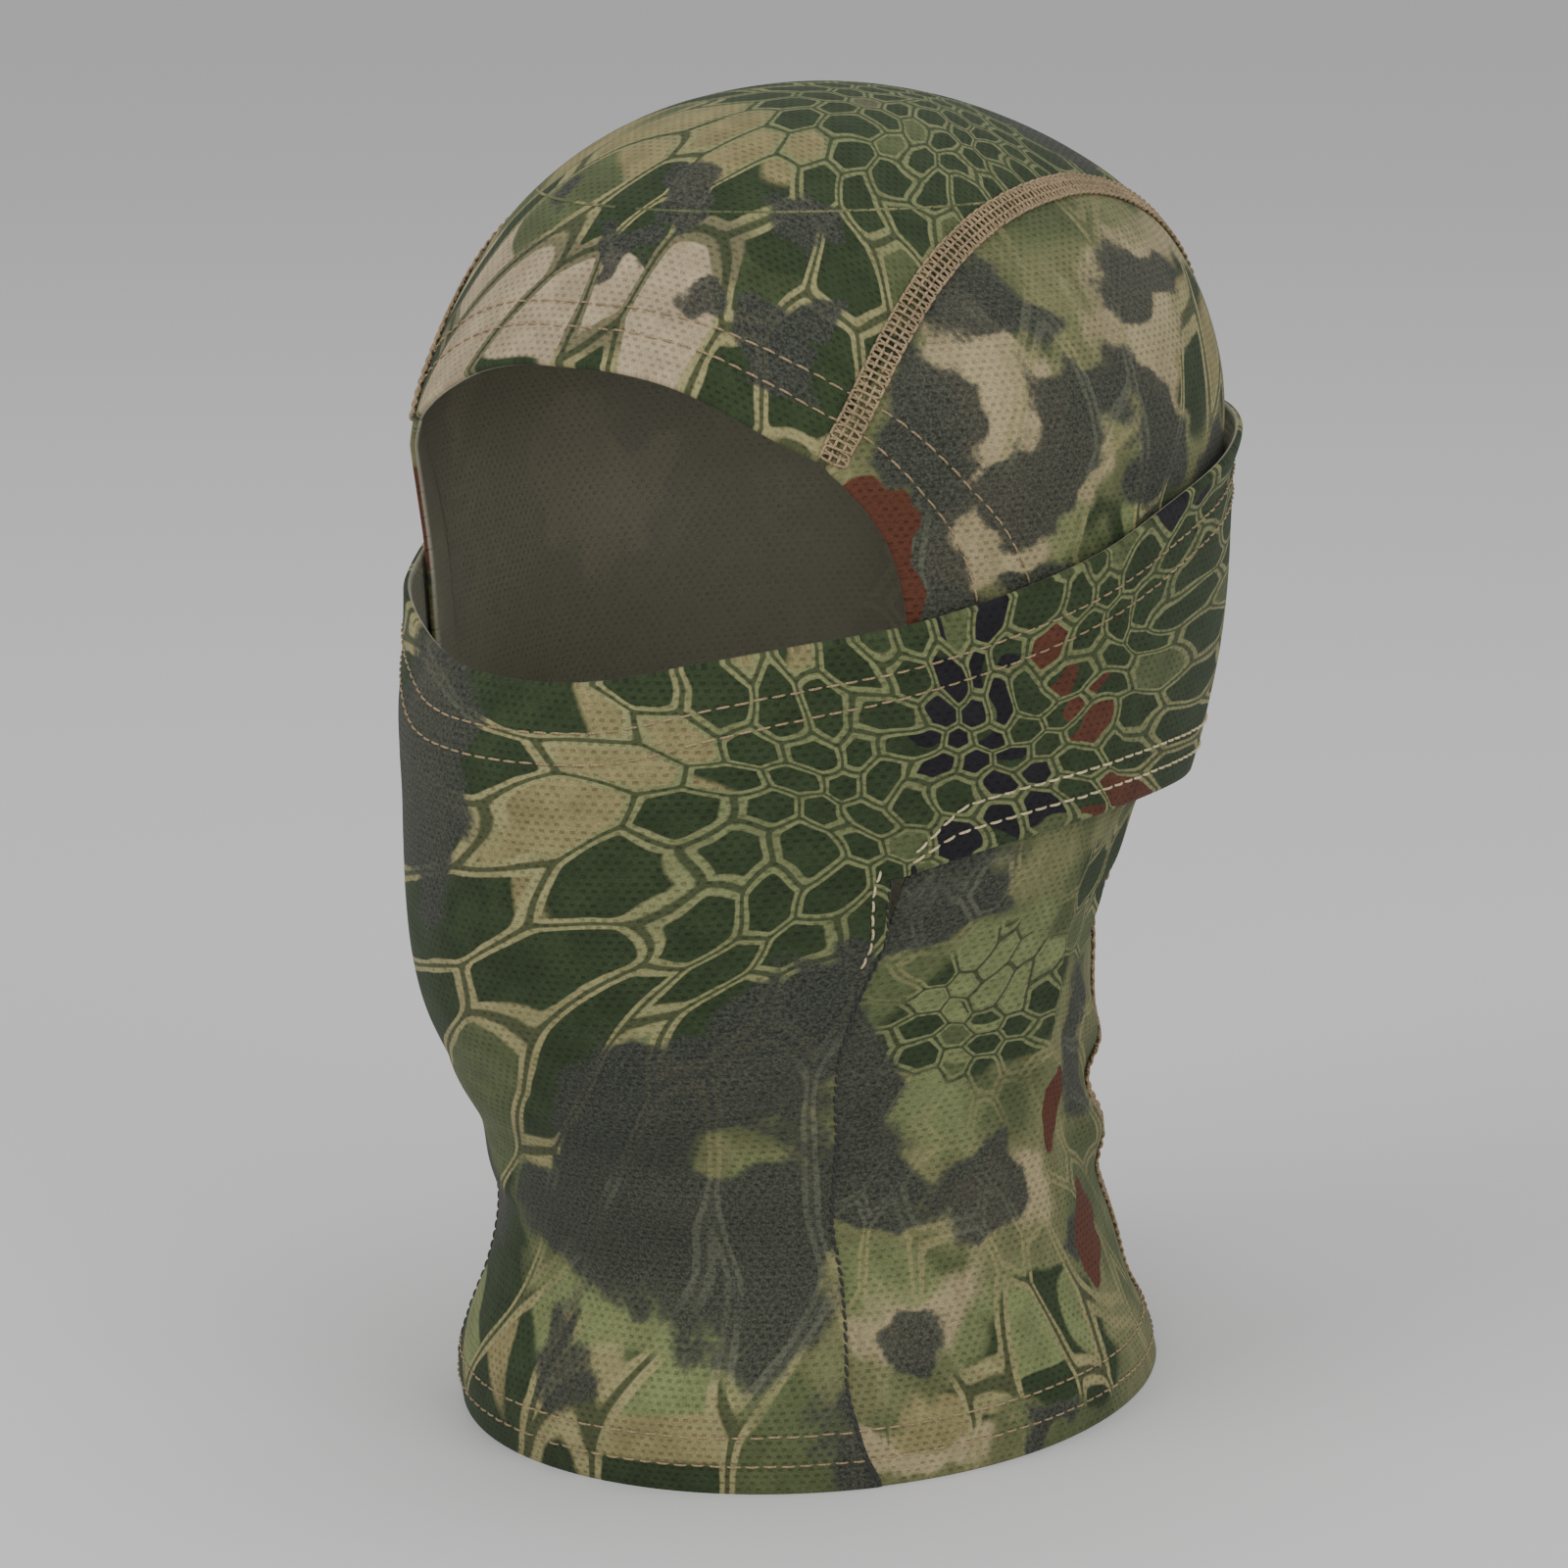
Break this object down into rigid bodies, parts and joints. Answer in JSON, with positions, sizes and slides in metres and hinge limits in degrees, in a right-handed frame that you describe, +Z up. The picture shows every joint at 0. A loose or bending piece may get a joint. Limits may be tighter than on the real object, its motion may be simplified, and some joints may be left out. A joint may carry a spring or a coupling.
{
  "type": "balaclava",
  "caption": "Close-fitting stretch hood with one face opening and a face cover that wraps the back of the head and slides down to the chin.",
  "frame": {"origin": "middle of the hood's box in X and Y, at the bottom hem's edge", "axes": "+Z up through the crown, face opening towards -Y, the wearer's left towards +X"},
  "size_m": [0.1619, 0.2167, 0.2784],
  "materials": {
    "camo_cloth": "birdseye knit, matte, printed",
    "tan_thread": "spun polyester thread",
    "cream_thread": "spun polyester thread",
    "dark_thread": "spun polyester thread"
  },
  "bodies": {
    "hood": {"crown_panel": "camo_cloth", "left_hood_panel": "camo_cloth", "right_hood_panel": "camo_cloth", "neck_front_panel": "camo_cloth", "left_crown_seam": "tan_thread", "right_crown_seam": "tan_thread", "left_side_seam": "dark_thread", "right_side_seam": "dark_thread", "opening_inner_row": "tan_thread", "opening_outer_row": "tan_thread", "hem_lower_row": "tan_thread", "hem_upper_row": "tan_thread"},
    "cover": {"face_cover": "camo_cloth", "cover_top_upper_row": "tan_thread", "cover_top_lower_row": "tan_thread", "wing_bottom_lower_row": "cream_thread", "wing_bottom_upper_row": "cream_thread", "left_corner_tack": "cream_thread", "right_corner_tack": "cream_thread", "band_back_seam": "dark_thread"}
  },
  "joints": [
    {"name": "cover_pull_down", "type": "slide", "parent": "hood", "child": "cover", "axis": [0, 0, -1], "range_m": [0, 0.062]}
  ]
}
